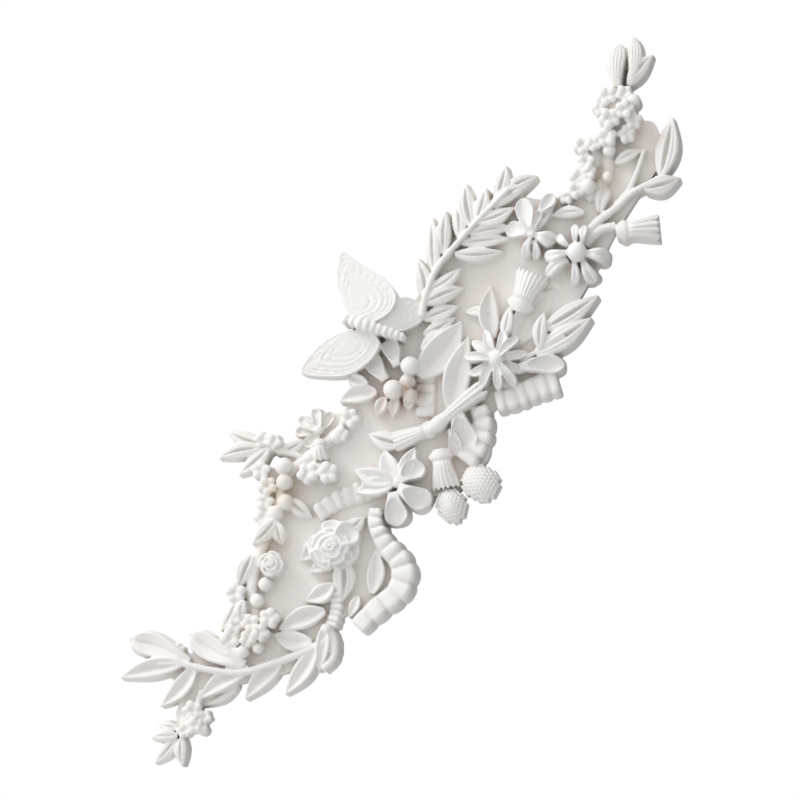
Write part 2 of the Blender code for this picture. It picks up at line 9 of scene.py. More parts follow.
import bmesh
import bpy
import numpy as np
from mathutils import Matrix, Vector


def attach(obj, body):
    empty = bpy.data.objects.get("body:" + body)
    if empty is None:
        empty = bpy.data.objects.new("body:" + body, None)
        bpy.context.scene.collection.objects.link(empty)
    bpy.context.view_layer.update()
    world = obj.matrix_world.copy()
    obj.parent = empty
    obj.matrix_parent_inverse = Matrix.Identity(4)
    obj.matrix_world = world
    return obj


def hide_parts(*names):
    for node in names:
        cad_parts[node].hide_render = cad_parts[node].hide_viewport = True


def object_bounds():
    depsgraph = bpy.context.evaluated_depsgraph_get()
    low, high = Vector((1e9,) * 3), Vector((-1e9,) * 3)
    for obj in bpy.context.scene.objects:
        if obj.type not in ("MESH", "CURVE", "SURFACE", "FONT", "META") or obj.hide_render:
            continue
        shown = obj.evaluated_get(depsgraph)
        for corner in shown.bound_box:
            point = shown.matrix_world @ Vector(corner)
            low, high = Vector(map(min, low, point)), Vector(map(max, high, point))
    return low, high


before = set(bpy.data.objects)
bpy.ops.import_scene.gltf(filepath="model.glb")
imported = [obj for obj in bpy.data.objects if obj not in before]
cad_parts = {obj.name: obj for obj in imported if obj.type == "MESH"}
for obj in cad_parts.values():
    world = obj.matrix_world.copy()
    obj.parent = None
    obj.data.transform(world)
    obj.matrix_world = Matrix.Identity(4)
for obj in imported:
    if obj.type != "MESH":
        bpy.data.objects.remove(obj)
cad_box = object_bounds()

# The part's own dimensions, in metres
SPRAY_WIDTH = 0.600
RELIEF = 0.062
GROUND = 0.018
WALL_DRAFT = 0.003

# Its setting-out grid
GRID_SQUARES = 250  # in the width of the spray
GRID = SPRAY_WIDTH / GRID_SQUARES
ORIGIN = np.array((126.0, 146.0))
DRAFT = WALL_DRAFT / GRID
READING_SLOPE = math.tan(math.radians(6))  # the grid is read from a little to the right and below
READING_LEVEL = 0.40  # the height share at which it is read true

# How the skin is made, in metres
OVERRUN = -0.006  # every shell ends this far behind the back plane, where the skin is then sawn off
VOXEL = 0.0008
FACES = 198000
CRISP_EDGE = math.radians(48)  # edges sharper than this aren't shaded smooth
BACK_SNAP = 0.0002
SAW_TOLERANCE = 1e-6
SOFTENING = 0.5  # share of the way that each point moves to the middle of its neighbours

# How much blades sway, lift and lean from one to the next, and how much stems swell, as shares
BLADE_SWAY, BLADE_LIFT, BLADE_LEAN = 0.06, 0.07, 0.20
STEM_SWELL = 0.06

# Small depths of the carving, in metres
PEBBLE_RISE = 0.0006
BLOSSOM_DISH = 0.0012
BLOSSOM_EYE = 0.0006
BUD_FURROW = 0.0042
FLUTE_DEPTH = 0.0085
RIBBON_DRAW = 0.0045  # at the edge that is drawn in
RIBBON_ROLL = 0.0040  # at both edges

PEBBLE_PITCH = 1.75  # grid squares between two pebbles of a long berry

# Leaves and petals. Each group has a height, a kind and its rows: base x, base y, tip x, tip y, width
LEAVES = {
    "top_fan": (0.42, "fan", (
        (222, 302, 222.8, 322, 8.6), (228, 304, 229.3, 325, 7.2),
    )),
    "top_sprig": (0.44, "leaf", (
        (227, 303, 238, 317, 7.5),
    )),
    "right_twig": (0.50, "leaf", (
        (241.5, 262, 246.5, 288.5, 10.5), (234, 256, 250, 261, 8.5), (221, 268, 233, 274, 5.5),
    )),
    "olive_twig": (0.55, "leaf", (
        (136, 208, 132, 227, 7.5), (140, 220, 139, 245, 7), (144, 228, 145, 248, 6.5),
        (151, 235, 149, 252, 6.5), (157, 240, 154, 260, 8.5), (159, 243, 163, 258, 6.5),
        (168, 252, 172, 268, 7.5), (172, 256, 186, 263, 7), (138, 212, 152, 222, 6),
        (136, 206, 153, 213, 7.5), (135, 199, 151, 205, 7), (135, 192, 149, 200, 6.5),
        (134, 185, 147, 195, 6), (149, 228, 171, 229, 6.5), (152, 233, 174, 235, 6.5),
        (156, 237, 175, 240, 6), (159, 242, 176, 249, 7), (165, 249, 182, 259, 7),
    )),
    "right_leaves": (0.58, "leaf", (
        (189, 194, 213, 209, 9.5), (185, 183, 210, 199, 10), (187, 185, 189, 202, 6.5),
        (207, 246, 192, 245, 5.5), (184.3, 237, 194.5, 252, 4.6),
    )),
    "beside_the_daisy": (0.54, "broad", (
        (147, 158, 155, 191, 12), (133, 173, 152, 198, 15), (166, 190, 165, 214, 9),
    )),
    "slim_leaves": (0.50, "leaf", (
        (164, 202, 153, 202, 4.5), (171, 190, 174, 205, 5.5),
    )),
    "low_broad_leaf": (0.38, "broad", (
        (176, 187, 194, 212, 14),
    )),
    "under_the_butterfly": (0.55, "folded", (
        (114, 167, 97, 163, 9), (110, 170, 100, 175, 6), (118, 164, 114, 156, 5.5), (123, 165, 121, 155, 5),
    )),
    "left_sprig": (0.40, "leaf", (
        (62, 144, 47, 150, 6.5), (62, 142, 43, 138, 7), (66, 142, 52, 130, 7), (81, 145, 69, 139, 6),
    )),
    "flower_chain": (0.52, "leaf", (
        (75, 119, 85, 111, 7), (69, 110, 58, 99, 7), (69, 109, 72, 98, 6.5), (58, 94, 52, 80, 8),
        (51.5, 74.5, 44, 60.5, 5.5), (54.5, 74, 53.5, 63.5, 5), (125, 143, 110, 148, 9),
    )),
    "rose_leaves": (0.50, "folded", (
        (90, 101, 79.5, 91.5, 8.5), (95, 91, 84, 86.5, 6.5), (95, 80.5, 82, 73.5, 8.5),
        (112, 76.5, 113.5, 97, 8.5), (106, 75.5, 101.5, 66, 4.8),
    )),
    "open_flower_leaves": (0.62, "folded", (
        (121, 126, 104, 132, 9), (121, 125, 105, 122, 9), (122, 128, 117, 141, 8.5),
        (125, 128, 131, 142, 7.5),
    )),
    "lower_spray": (0.48, "folded", (
        (91, 69, 70, 61, 10), (85, 55, 67, 59, 9), (71, 46, 55, 30, 9), (87, 52, 73, 32, 9),
        (91, 63, 88, 42, 6.5), (57, 44, 34, 30, 9), (33, 45, 17, 27, 8.5), (27, 46, -1, 40, 9),
    )),
    "by_the_rose": (0.56, "leaf", (
        (99, 102, 108.5, 111, 7.5), (98.8, 92, 98.6, 73.5, 10.5),
    )),
    "blunt_leaves": (0.46, "shallow", (
        (30, 46, 3, 57, 12), (55, 45, 30, 59, 12),
    )),
    "low_leaves": (0.32, "leaf", (
        (52, 37, 36, 27, 7.5), (34, 43, 30, 27, 9), (67, 49, 56, 46, 5),
    )),
    "bottom_sprig": (0.38, "leaf", (
        (25, 13.5, 13, 13, 5), (25, 17, 16, 19, 4.5), (24.5, 13, 14.5, 1.5, 5.8), (27, 13, 27.3, 0, 5.6),
    )),
}
PETALS = {
    "ball_flower": (0.72, "plump", (
        (199, 228, 188.8, 226.3, 6), (199.5, 225, 189.5, 218.3, 5.5), (199.5, 231, 194.5, 236.5, 4.2),
        (202.8, 232, 202.6, 241, 3.8), (205.6, 232, 207, 240.5, 3.8), (202, 224.5, 202.4, 213.8, 4.4),
        (206, 224.5, 211.5, 215, 6.5), (207.5, 227.5, 218, 226, 7),
    )),
    "cupped_flower": (0.66, "cupped", (
        (183, 237, 179, 253, 8.5), (182, 237, 171.5, 239.5, 8), (184, 238, 186, 247.5, 6.5),
        (187, 246, 193, 254.5, 6),
    )),
    "puffed_petals": (0.68, "plump", (
        (185, 236, 194, 233.5, 8), (184.5, 234, 185.2, 225.5, 3.8), (182.5, 234.5, 180.5, 226, 4.2),
    )),
    "behind_the_daisy": (0.60, "cupped", (
        (178, 177, 198, 178, 9), (170, 180, 180, 177, 6), (170, 178, 173, 168, 5),
    )),
    "open_flower": (0.68, "cupped", (
        (124, 127, 135, 134, 10), (124, 124, 138, 117, 11), (121, 122, 123, 107, 11),
    )),
    "under_the_wing": (0.62, "cupped", (
        (118, 172, 110, 184, 9), (123, 178, 118, 190, 8.5), (127, 171, 128, 159, 5),
    )),
    "pale_flower": (0.45, "channel", (
        (88, 150, 94, 158, 5.5), (88, 151, 86, 160, 5), (87, 150, 79, 156, 5), (87, 149, 77, 149, 5),
        (88, 148, 81, 143, 5),
    )),
    "hanging_petal": (0.45, "plump", (
        (214, 246, 216.5, 258, 8),
    )),
    "curled_leaf": (0.62, "cupped", (
        (150, 158, 156, 140, 12), (147, 150, 149, 138, 6.5),
    )),
}

# Stems: height, radius at the start and the end, and the points that the stem runs through
STEMS = (
    (0.62, 1.5, 0.9, ((134, 200), (136, 210), (141, 222), (150, 233), (160, 244), (173, 257))),
    (0.54, 2.2, 1.2, ((204, 231), (212, 241), (221, 248), (229, 255), (239, 260))),
    (0.50, 1.5, 0.9, ((221, 249), (227, 256), (231, 265), (234, 274))),
    (0.54, 2.4, 1.8, ((207, 232), (214, 238), (221, 240))),
    (0.50, 2.0, 1.2, ((94, 57), (82, 51), (68, 46), (54, 42), (40, 43), (26, 46), (16, 46))),
    (0.48, 2.4, 1.6, ((92, 61), (95, 55), (94.5, 48), (90, 43))),
    (0.40, 1.9, 1.3, ((36, 34), (33, 26), (28, 17))),
    (0.40, 1.6, 1.4, ((63, 144), (70, 141), (80, 138))),
    (0.58, 1.2, 0.8, ((178, 180), (186, 184), (198, 191))),
    (0.40, 3.6, 3.0, ((222, 303), (221, 292), (218, 274), (217, 262), (208, 252))),
    (0.44, 3.0, 2.6,
     ((104, 154), (95, 147), (84, 138), (73, 128), (70, 114), (62, 96), (58, 80), (60, 66))),
)

# Small blossoms, then berries: x, y, radius, height
BLOSSOMS = (
    (217, 298, 4.4, 0.62), (225, 299, 4.0, 0.60), (218, 288, 4.8, 0.74), (225, 292, 4.2, 0.78),
    (229, 287, 4.0, 0.66), (217, 280, 4.6, 0.66), (226, 281, 4.2, 0.60), (214, 293, 3.6, 0.52),
    (206, 276, 4.0, 0.56), (211, 277, 3.6, 0.60), (208, 269, 4.0, 0.56), (209, 264, 3.4, 0.60),
    (204, 262, 3.6, 0.56), (203, 256, 3.8, 0.58), (199, 253, 3.4, 0.50), (83, 130.5, 4.8, 0.66),
    (92, 131, 4.8, 0.70), (102, 155, 4.4, 0.54), (98, 148, 3.6, 0.54), (66, 66.3, 4.6, 0.70),
    (62, 60, 4.2, 0.68), (57.8, 63.8, 4.4, 0.62), (56.5, 57, 3.8, 0.62), (48.5, 57, 4.6, 0.52),
    (51, 63, 3.8, 0.54), (49.6, 50.5, 3.2, 0.50), (63, 146, 3.6, 0.46), (68, 145, 3.6, 0.50),
    (62, 132, 4.4, 0.46), (65, 125, 4.4, 0.48), (64, 118, 4.2, 0.46), (63, 111, 4.2, 0.44),
    (50.9, 77.5, 4.6, 0.54), (31.5, 25, 4.6, 0.46), (32.5, 18.5, 3.8, 0.50), (27.8, 16, 3.4, 0.44),
    (37, 22, 3.4, 0.42), (25, 52, 3.2, 0.40),
)
BERRIES = (
    (229, 296, 3.2, 0.66), (218, 274, 3.0, 0.60), (217.5, 262, 2.6, 0.58), (208.5, 258, 3.4, 0.66),
    (72, 134, 4.0, 0.68), (72.5, 127, 3.8, 0.66), (73, 118, 3.8, 0.62), (68.5, 113, 3.6, 0.58),
    (64, 81.3, 3.2, 0.62), (128.5, 178.5, 4.2, 0.86), (127.5, 171.5, 3.4, 0.74), (121, 168, 4.4, 0.82),
    (129, 165, 3.4, 0.70), (123, 126, 2.4, 0.66), (96, 147, 3.4, 0.56), (54, 51.3, 2.9, 0.60),
    (60.9, 53, 2.7, 0.60), (36.3, 16.4, 2.6, 0.46), (60.2, 73.8, 3.4, 0.56), (91.3, 61, 2.6, 0.54),
    (88, 150, 2.2, 0.50), (183.3, 236.6, 1.8, 0.70),
)

# Low mounds that carry the clusters: x, y, half length, half width, turn in degrees, height
MOUNDS = (
    (222, 291, 12, 8.5, 78, 0.54), (209, 268, 9, 5, 60, 0.48), (88, 132, 8, 5, 0, 0.52),
    (57, 59, 11, 7.5, 35, 0.48), (30, 21, 7, 5.5, 50, 0.36), (64, 120, 9, 4.5, 85, 0.38),
    (63, 142, 7, 5, 20, 0.36), (102, 153, 7, 4, 40, 0.44),
)

# Long pebbled berries: x, y, half length, half width, turn in degrees, height
LONG_BERRIES = ((160, 126, 9, 7.6, -28, 0.66), (147, 116, 7.8, 6.4, -72, 0.58))

# Ribbed buds: base x, base y, end x, end y, width, height, ribs
BUDS = (
    (221, 237.5, 240.5, 239.5, 13, 0.60, 4), (177, 202, 184, 220, 17, 0.64, 7),
    (142, 141, 145, 123, 15, 0.62, 6), (141, 151, 121, 144, 11, 0.60, 5), (137, 149, 162, 169, 9, 0.72, 3),
    (88, 146, 89, 136, 8, 0.60, 3),
)

# Ribbons: height, widths at the start, middle and end, flutes, the growth of these along it, the frilled
# side (1 is left of its run, -1 right), the points along its middle. The last is the rose's ringed stalk
RIBBONS = (
    (0.56, (10, 10.5, 11), 6, 1.1, -1, ((167, 162), (175, 164), (185, 168), (195, 171))),
    (0.46, (9, 9.5, 9), 4, 1, 1, ((136, 155), (136, 165), (136, 176))),
    (0.50, (8, 9, 10), 7, 1, 1, ((87, 112), (96, 118), (106, 121.5), (117, 125))),
    (0.62, (5.5, 10.8, 8), 11, 2.0, 1,
     ((113.3, 115), (113.2, 107.5), (117.5, 98.8), (123.5, 92), (125.6, 85), (122.5, 77), (114, 70.5),
      (105, 62))),
    (0.58, (8, 9.5, 10), 5, 1, 1, ((159, 160), (161, 152), (159, 143), (153, 135))),
    (0.50, (6, 6, 6), 6, 1, 1, ((95.8, 78), (95.6, 70), (93.3, 62))),
)

# The daisy
DAISY = (167, 181)
DAISY_PETALS = 11
DAISY_RADIUS = 14
DAISY_EYE = 3.8
DAISY_RISE = 0.86

# The ball in the middle of the ball flower
EYE = (203, 228.6)
EYE_RADIUS = 4.4
EYE_RISE = 0.92

# The rose. Its rings of curled petals: petals, reach as a share of the radius, rim radius, fall in metres.
# Its open petals: angle in radians, reach, width. The rosebud: x, y, radius, height, and its own rings
ROSE = (93.4, 98)
ROSE_RADIUS = 10
ROSE_RISE = 0.80
CORE_DROP, CORE_FALL = 0.0024, 0.0054  # of the core under its rings, at its middle and further at its rim
ROSE_RINGS = ((5, 0.72, 0.85, 0.0046), (3, 0.47, 0.75, 0.0018))
ROSE_PETALS = (
    (-0.2, 12.5, 13), (0.62, 14, 13), (1.5, 12.5, 13), (2.35, 9.5, 12), (3.15, 11, 12), (4.05, 10.5, 13),
    (4.9, 9.5, 12), (5.5, 11, 12),
)
ROSEBUD = (66.7, 90.5, 5.5, 0.70)
ROSEBUD_RINGS = ((4, 0.84, 0.8, 0.0034), (3, 0.52, 0.65, 0.0012))

# The butterfly. A wing: its outline from the root on, and its heights at the root and the tip. A line: the
# share of the outline's size where it runs, and its depth in metres
WINGS = (
    (((107, 196), (103, 197), (100, 204), (96.5, 215), (96.5, 225), (98, 230.5), (103, 227), (111, 221.5),
      (118, 217), (123, 210), (121.5, 203), (115, 198)), 0.84, 0.50),
    (((113, 193), (103, 194), (95, 192), (88, 187.5), (82.5, 182), (79.5, 176), (87, 174), (100, 174),
      (110, 179), (116, 187)), 0.82, 0.46),
    (((114, 197), (119, 204), (126, 209), (133, 206.5), (135.5, 201), (131, 196), (122, 193)), 0.80, 0.56),
)
WING_LINES = ((0.92, 0.0012), (0.83, 0.0012), (0.72, 0.0010), (0.56, 0.0010), (0.38, 0.0009))
WING_LINE_WIDTH = 0.022
WING_MARGIN = 0.0012
WING_VEINS = 13
VEIN_DEPTHS = (0.0008, 0.0005)  # in the middle band and in the heart of the wing

# The rings of its body: x, y, radius, height
BODY = (
    (99.8, 199.2, 2.1, 0.90), (103.2, 198.2, 2.6, 0.96), (106.4, 197.2, 2.9, 1.0), (109.4, 196.3, 2.9, 1.0),
    (112.3, 195.4, 2.7, 0.98), (115.0, 194.6, 2.6, 0.96), (117.7, 193.7, 2.5, 0.95),
    (120.3, 192.9, 2.4, 0.93), (122.8, 192.1, 2.2, 0.91), (125.1, 191.4, 1.9, 0.88),
)
BODY_TURN = math.radians(-17)

# The edge of the smooth ground
GROUND_EDGE = (
    (216, 282), (232, 287), (240, 284), (241, 268), (233, 255), (221, 236), (214, 222), (208, 212),
    (201, 199), (196, 184), (191, 170), (170, 160), (165, 154), (165, 138), (158, 129), (150, 121),
    (136, 119), (126, 115), (118, 108), (121, 98), (127, 88), (125, 78), (114, 70), (101, 67), (96, 62),
    (94, 48), (80, 43), (62, 38), (42, 34), (31, 22), (24, 22), (27, 34), (20, 42), (30, 50), (46, 54),
    (52, 64), (54, 76), (61, 95), (64, 109), (64, 127), (74, 139), (86, 151), (101, 160), (105, 170),
    (109, 182), (114, 193), (126, 200), (135, 214), (144, 229), (156, 243), (170, 254), (190, 252),
    (200, 256), (210, 268),
)

# Stains in the plaster, and first a painted shadow, dark brown between the berries and a bud's ribs: x, y,
# radius, colour, strength
STAINS_AND_SHADOW = (
    (131, 167, 8, (0.36, 0.26, 0.18, 1), 0.90), (125, 166, 9, (0.66, 0.50, 0.38, 1), 0.60),
    (120, 162, 12, (0.74, 0.61, 0.58, 1), 0.60), (73, 122, 12, (0.66, 0.56, 0.42, 1), 0.60),
    (68, 98, 11, (0.68, 0.59, 0.48, 1), 0.45), (236, 279, 11, (0.72, 0.61, 0.57, 1), 0.55),
    (218, 262, 10, (0.68, 0.60, 0.48, 1), 0.45), (60, 60, 14, (0.70, 0.62, 0.56, 1), 0.45),
    (150, 135, 15, (0.74, 0.66, 0.63, 1), 0.45), (163, 212, 14, (0.72, 0.65, 0.58, 1), 0.45),
)

# Its tones: painted warm shade low down, plain high up, painted shade in recesses, wear on rims, mottle
# over all
LOW_WARM_SHADE_TONE = (0.83, 0.805, 0.785, 1)
PALE_TONE = (0.82, 0.818, 0.812, 1)
# the next tone is painted shade, laid darker in the recesses
RECESS_SHADE = (0.64, 0.59, 0.55, 1)
WORN = (0.87, 0.868, 0.86, 1)
MOTTLE = (0.93, 0.92, 0.90, 1)

# Where the tones change, and where the stains and the painted shadow start at the top and end towards the
# wall, as places on the y axis in metres
TONE_DEPTHS = (-0.018, -0.040)
TINT_TOP = (-0.058, -0.034)
TINT_END = (-0.002, -0.012)
TINT_CORE = 0.3  # the share of its radius within which each stain and the painted shadow is full

RECESS_SHADE_REACH = 0.014  # metres
RECESS_SHADE_SPAN, RECESS_SHADE_SHARE = (0.75, 0.15), 0.70  # how open a place is, from no painted shade to full painted shade
WORN_SPAN, WORN_SHARE = (0.52, 0.62), 0.7  # how sharp a rim is, from sound to worn
BLOTCH_SPAN, BLOTCH_SHARES = (0.35, 0.60), (0.35, 1)  # how far each stain and the painted shadow comes through, by its noise
ROUGHNESS = (0.92, 0.70)  # of sound plaster and of worn plaster
GRAIN_DEPTH = 0.0012  # metres
GRAIN_STRENGTH = 0.35

# Noises: scale, detail
BLOTCHES, MOTTLING, GRAIN = (60, 3), (22, 5), (420, 6)

# The studio: a sky that is brighter at the upper left, a white backdrop behind the piece, one lamp and a
# pale floor
SKY_BRIGHT_SIDE = (-0.60, -0.54, 0.59)
SKY_SPAN = (-0.50, 0.90)
SKY_STRENGTH = (0.14, 1.29)
BACKDROP_WAY = (-0.104, 0.989, 0.105)
BACKDROP_SPAN = (0.93, 0.945)
BACKDROP_STRENGTH = 1.0
KEY_PLACE = (-2.1, -1.05, 2.1)
KEY_TARGET = (0.0, 0.0, 0.04)
KEY_SIZE = 0.9
KEY_POWER = 32
FLOOR_SIZE = 6
FLOOR_DROP = 2.0  # below the piece
FLOOR_GRAIN = 3
FLOOR_ROUGHNESS = 0.9
FLOOR_TONES = ((0.86, 0.86, 0.86, 1), (0.90, 0.90, 0.90, 1))

# The camera, which looks from a little to the right of the piece and a little below it
LENS = 280  # millimetres
CAMERA_DISTANCE = 6.65  # metres
CAMERA_AZIMUTH, CAMERA_ELEVATION = math.radians(6), math.radians(-6)


class Casting:
    """Closed shells collected in one mesh. A loop is a list of (x, y, height), with the height in metres
    off the wall."""

    def __init__(self):
        self.points, self.faces, self.count = [], [], 0
        self.stand(READING_LEVEL)

    def stand(self, rise):
        """Takes out of what comes next the shift that its height seems to give it."""
        aside = READING_SLOPE * (rise - READING_LEVEL) * RELIEF / GRID
        self.shift = np.array((aside, -aside, 0))

    def loft(self, loops):
        """Joins loops of one size into a closed shell."""
        loops = np.asarray(loops, float) + self.shift
        rows, size = loops.shape[:2]
        grid = self.count + np.arange(rows * size).reshape(rows, size)
        ahead = np.roll(grid, -1, axis=1)
        quads = np.stack((grid[:-1], ahead[:-1], ahead[1:], grid[1:]), axis=-1).reshape(-1, 4)
        self.faces += quads.tolist()
        self.faces += [grid[0, ::-1].tolist(), grid[-1].tolist()]
        self.points.append(loops.reshape(-1, 3))
        self.count += rows * size

    def mesh(self, name):
        places = np.concatenate(self.points)
        points = np.empty_like(places)
        points[:, 0] = (places[:, 0] - ORIGIN[0]) * GRID
        points[:, 1] = -places[:, 2]
        points[:, 2] = (places[:, 1] - ORIGIN[1]) * GRID
        data = bpy.data.meshes.new(name)
        data.from_pydata(points.tolist(), [], self.faces)
        return data


def left_of(run):
    return np.array((-run[1], run[0])) / np.hypot(*run)


def smooth_line(points, pieces):
    """Points on a smooth curve through the given ones, with so many pieces between each two."""
    knots = np.array(points, float)
    knots = np.vstack((2 * knots[0] - knots[1], knots, 2 * knots[-1] - knots[-2]))
    t = np.arange(pieces)[:, None] / pieces
    line = []
    for a, b, c, d in zip(knots, knots[1:], knots[2:], knots[3:]):
        line.append(
            (2 * b + (c - a) * t + (2 * a - 5 * b + 4 * c - d) * t**2 + (3 * b - a - 3 * c + d) * t**3) / 2
        )
    return np.vstack((*line, knots[-2:-1]))


def plump(v):
    """Two rounded halves beside a groove, for v from -1 to 1 across."""
    return np.sqrt(np.clip(1 - (2 * np.abs(v) - 1) ** 2, 0, 1))


def leaf_width(u):
    swell = 0.24 + 0.76 * np.sin(np.pi * np.clip(u / 1.02, 0, 1) ** 0.88)
    return swell * np.sqrt(np.clip(1 - u**4, 0, 1))


def petal_width(u):
    swell = 0.40 + 0.60 * np.sin(np.pi * np.clip(u, 0, 1) ** 1.4 * 0.66)
    return swell * np.sqrt(np.clip(1 - u**6, 0, 1))


def channel_width(u):
    swell = 0.50 + 0.50 * np.sin(np.pi * np.clip(u, 0, 1) ** 1.2 * 0.72)
    return swell * np.sqrt(np.clip(1 - u**5, 0, 1))


WIDTHS = {"leaf": leaf_width, "folded": leaf_width, "broad": leaf_width, "channel": channel_width}


def valley(v):
    """How far a folded leaf lies below its rims at v, from 0 at the rims to 1 in the crease."""
    return (1 - np.abs(v)) ** 1.35


def rolled(v, start):
    """The share by which an edge rolls down, from 0 at start to 1 at the rim."""
    return (np.clip(np.abs(v) - start, 0, 1) / (1 - start)) ** 2


def section(kind, u, v, lean):
    """The height of a blade's section below its crown, in half widths, at u along it and v across."""
    far = abs(v)
    ends = min(1.0, 5 * (1 - u), 0.25 + 4 * u)
    if kind == "folded":
        return 0.74 * ends * valley(v) + 0.34 * rolled(v, 0.70) - lean * v
    if kind == "leaf":
        creases = 0.60 * np.exp(-((v / 0.17) ** 2)) + 0.13 * np.exp(-(((far - 0.55) / 0.12) ** 2))
        return ends * creases + 0.42 * far**3 + 0.12 * ends * (1 - far) - lean * v
    if kind == "fan":
        return 0.26 * (1 - np.abs(np.cos(2.5 * np.pi * v)) ** 0.7) + 0.30 * far**3
    if kind == "broad":
        return 0.62 * ends * valley(v) + 0.18 * rolled(v, 0.8) - 0.35 * v
    if kind == "plump":
        return 0.56 - 0.56 * plump(v) + 0.40 * (abs(u - 0.55) * 2) ** 4
    if kind == "channel":
        return 1.35 * ends * (1 - far**2) + 0.30 * rolled(v, 0.75) - 0.22 * ends * np.exp(-((v / 0.2) ** 2))
    bowl = np.clip(1 - v**2 - ((u - 0.60) / 0.42) ** 2, 0, 1)
    ending = 0.30 * rolled(v, 0.8) + 0.35 * max(0.0, u - 0.93) / 0.07
    if kind == "bowl":
        return 0.50 * bowl + ending
    if kind == "shallow":
        return 0.42 * bowl + 0.20 * ends * np.exp(-((v / 0.14) ** 2)) + ending
    return 0.95 * np.sqrt(bowl) * (1.15 - 0.45 * u) + ending


def curls(casting, place, radius, top, rings):
    """Rings of curled petal rims about a coiled heart. A ring is its petals, reach, rim radius and fall."""
    for petals, reach, thick, fall in rings:
        for i in range(petals):
            start = 2 * math.pi * (i + 0.37 * petals) / petals
            arc = []
            for t in np.linspace(-0.72, 0.66, 8):
                # each rim starts inside its ring and ends outside it, round the start of the next
                angle = start + t * 2 * math.pi / petals
                far = reach * radius * (1.04 - 0.30 * t**2 + 0.30 * t)
                arc.append((place[0] + far * math.cos(angle), place[1] + far * math.sin(angle)))
            stem(casting, (top - fall) / RELIEF, thick, 0.8 * thick, arc)
    coil = []
    for turn in np.linspace(0, 1.6, 12):
        far = radius * (0.30 - 0.16 * turn)
        angle = 2 * math.pi * turn
        coil.append((place[0] + far * math.cos(angle), place[1] + far * math.sin(angle)))
    stem(casting, top / RELIEF, 0.055 * radius + 0.15, 0.055 * radius + 0.15, coil)


def blade(casting, row, rise, kind, index):
    """A leaf or petal, with its section carved for its kind, on walls that spread to the back."""
    base, tip, width = np.array(row[:2], float), np.array(row[2:4], float), row[4]
    run = tip - base
    length = np.hypot(*run)
    across = left_of(run)
    sway = length * BLADE_SWAY * math.sin(2.4 * index)
    stations = max(16, int(length * 2.2))
    strips = max(21, int(width * 3) | 1)
    v = np.linspace(-1, 1, strips)
    lift = 1 + BLADE_LIFT * math.sin(1.7 * index)
    lean = BLADE_LEAN * math.sin(2.9 * index)
    shape = WIDTHS.get(kind, petal_width)
    loops = []
    for u in 1 - (1 - np.linspace(0, 1, stations)) ** 1.25:
        half = width / 2 * float(shape(u)) + 0.05
        middle = base + run * u + across * (sway * math.sin(math.pi * u))
        arch = 0.92 + 0.14 * math.sin(math.pi * min(1, 0.15 + 0.85 * u)) - 0.14 * u**4
        crown = rise * RELIEF * lift * arch
        top = crown - half * GRID * section(kind, u, v, lean)
        loop = [(*(middle - across * (half + DRAFT)), OVERRUN)]
        loop += [(*(middle + across * (half * s)), h) for s, h in zip(v, top)]
        loop.append((*(middle + across * (half + DRAFT)), OVERRUN))
        loops.append(loop)
    casting.loft(loops)


def stem(casting, rise, start_radius, end_radius, points):
    """A half round rod, slightly uneven, on walls that spread to the back."""
    line = smooth_line(points, 7)
    runs = np.gradient(line, axis=0)
    angles = np.linspace(0, math.pi, 9)
    loops = []
    for i, (place, run) in enumerate(zip(line, runs)):
        share = i / (len(line) - 1)
        radius = start_radius + (end_radius - start_radius) * share
        radius *= 1 + STEM_SWELL * math.sin(1.9 * i)
        across = left_of(run)
        crown = rise * RELIEF
        loop = [(*(place - across * (radius + DRAFT)), OVERRUN)]
        loop += [
            (*(place - across * (radius * math.cos(a))), crown - radius * GRID * (1 - math.sin(a)))
            for a in angles
        ]
        loop.append((*(place + across * (radius + DRAFT)), OVERRUN))
        loops.append(loop)
    casting.loft(loops)


def polar(casting, place, radii, turn, sides, levels):
    """A shell of rings, from levels of (share of the radii, height in metres)."""
    angles = np.linspace(0, 2 * math.pi, sides, endpoint=False)
    loops = []
    for size, height in levels:
        along = radii[0] * size * np.cos(angles)
        aside = radii[1] * size * np.sin(angles)
        x = place[0] + along * math.cos(turn) - aside * math.sin(turn)
        y = place[1] + along * math.sin(turn) + aside * math.cos(turn)
        loops.append(np.stack((x, y, np.full(sides, height)), axis=-1))
    casting.loft(loops)


def round_levels(top, drop, rings=9):
    """Levels of a half ball on a straight wall, from the back to the crown."""
    levels = [(1.0, OVERRUN)]
    for i in range(rings):
        angle = math.pi / 2 * i / (rings - 1)
        levels.append((max(math.cos(angle), 0.02), top - drop * (1 - math.sin(angle))))
    return levels


def knob(casting, place, radii, turn, rise, sides=28):
    """A half ball, or half an egg, on a straight wall."""
    top = rise * RELIEF
    rings = 4 if sides < 12 else 9
    polar(casting, place, radii, turn, sides, round_levels(top, min(radii) * GRID, rings))


def pebbled(casting, x, y, half_length, half_width, turn, rise):
    """A long berry covered in pebbles, set in staggered rows round it."""
    top = rise * RELIEF
    drop = 1.1 * half_width * GRID
    angle = math.radians(turn)
    place = np.array((x, y), float)
    along = np.array((math.cos(angle), math.sin(angle)))
    aside = np.array((-math.sin(angle), math.cos(angle)))
    polar(casting, place, (half_length * 0.92, half_width * 0.92), angle, 40, round_levels(top, drop))
    pitch = PEBBLE_PITCH
    rows = int(2 * half_length / pitch) + 1
    for i in range(-rows, rows + 1):
        for j in range(-rows, rows + 1):
            a = pitch * 0.86 * i
            b = pitch * (j + 0.5 * (i % 2))
            far = (a / half_length) ** 2 + (b / half_width) ** 2
            if far > 0.98:
                continue
            height = top - drop * (1 - math.sqrt(max(1 - far * 0.86, 0)))
            pebble = place + along * a + aside * b
            knob(casting, pebble, (pitch * 0.56, pitch * 0.56), 0, (height + PEBBLE_RISE) / RELIEF, 10)


